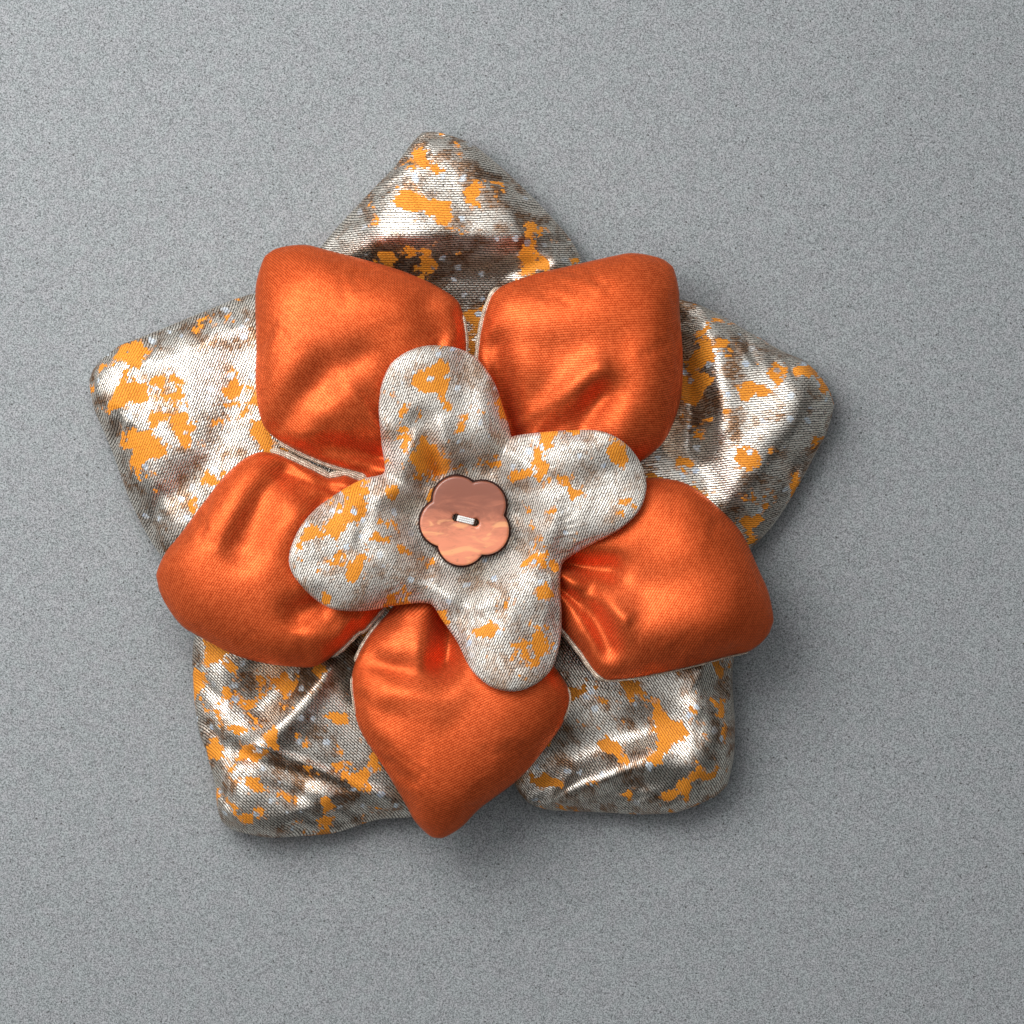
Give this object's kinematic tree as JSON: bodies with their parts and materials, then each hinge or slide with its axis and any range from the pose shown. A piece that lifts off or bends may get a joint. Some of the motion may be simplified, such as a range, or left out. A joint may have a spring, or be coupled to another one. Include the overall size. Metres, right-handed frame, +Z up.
{
  "type": "flower pin",
  "caption": "Padded fabric flower brooch with layered brocade and satin petals, a lobed flower on top drawn down by a two-hole shell button, and a bar pin behind.",
  "frame": {"origin": "centre of the flower's outline on the surface that it lies on", "axes": "+Z up out of the flower's face, +Y towards the single top base petal, +X to the right of someone who looks at the face"},
  "size_m": [0.1294, 0.1228, 0.025],
  "materials": {
    "brocade": "silvery foil brocade with flat orange patches",
    "satin": "glossy orange satin",
    "shell": "polished salmon shell with a dark back",
    "thread": "white sewing thread",
    "plated_steel": "nickel plated steel"
  },
  "bodies": {
    "root": {"base_petal_top": "brocade", "base_petal_left": "brocade", "base_petal_lower_left": "brocade", "base_petal_lower_right": "brocade", "base_petal_right": "brocade", "satin_petal_upper_left": "satin", "satin_petal_left": "satin", "satin_petal_bottom": "satin", "satin_petal_right": "satin", "satin_petal_upper_right": "satin", "top_flower": "brocade", "button": "shell", "button_thread": "thread", "pin_back": "plated_steel"}
  },
  "joints": []
}
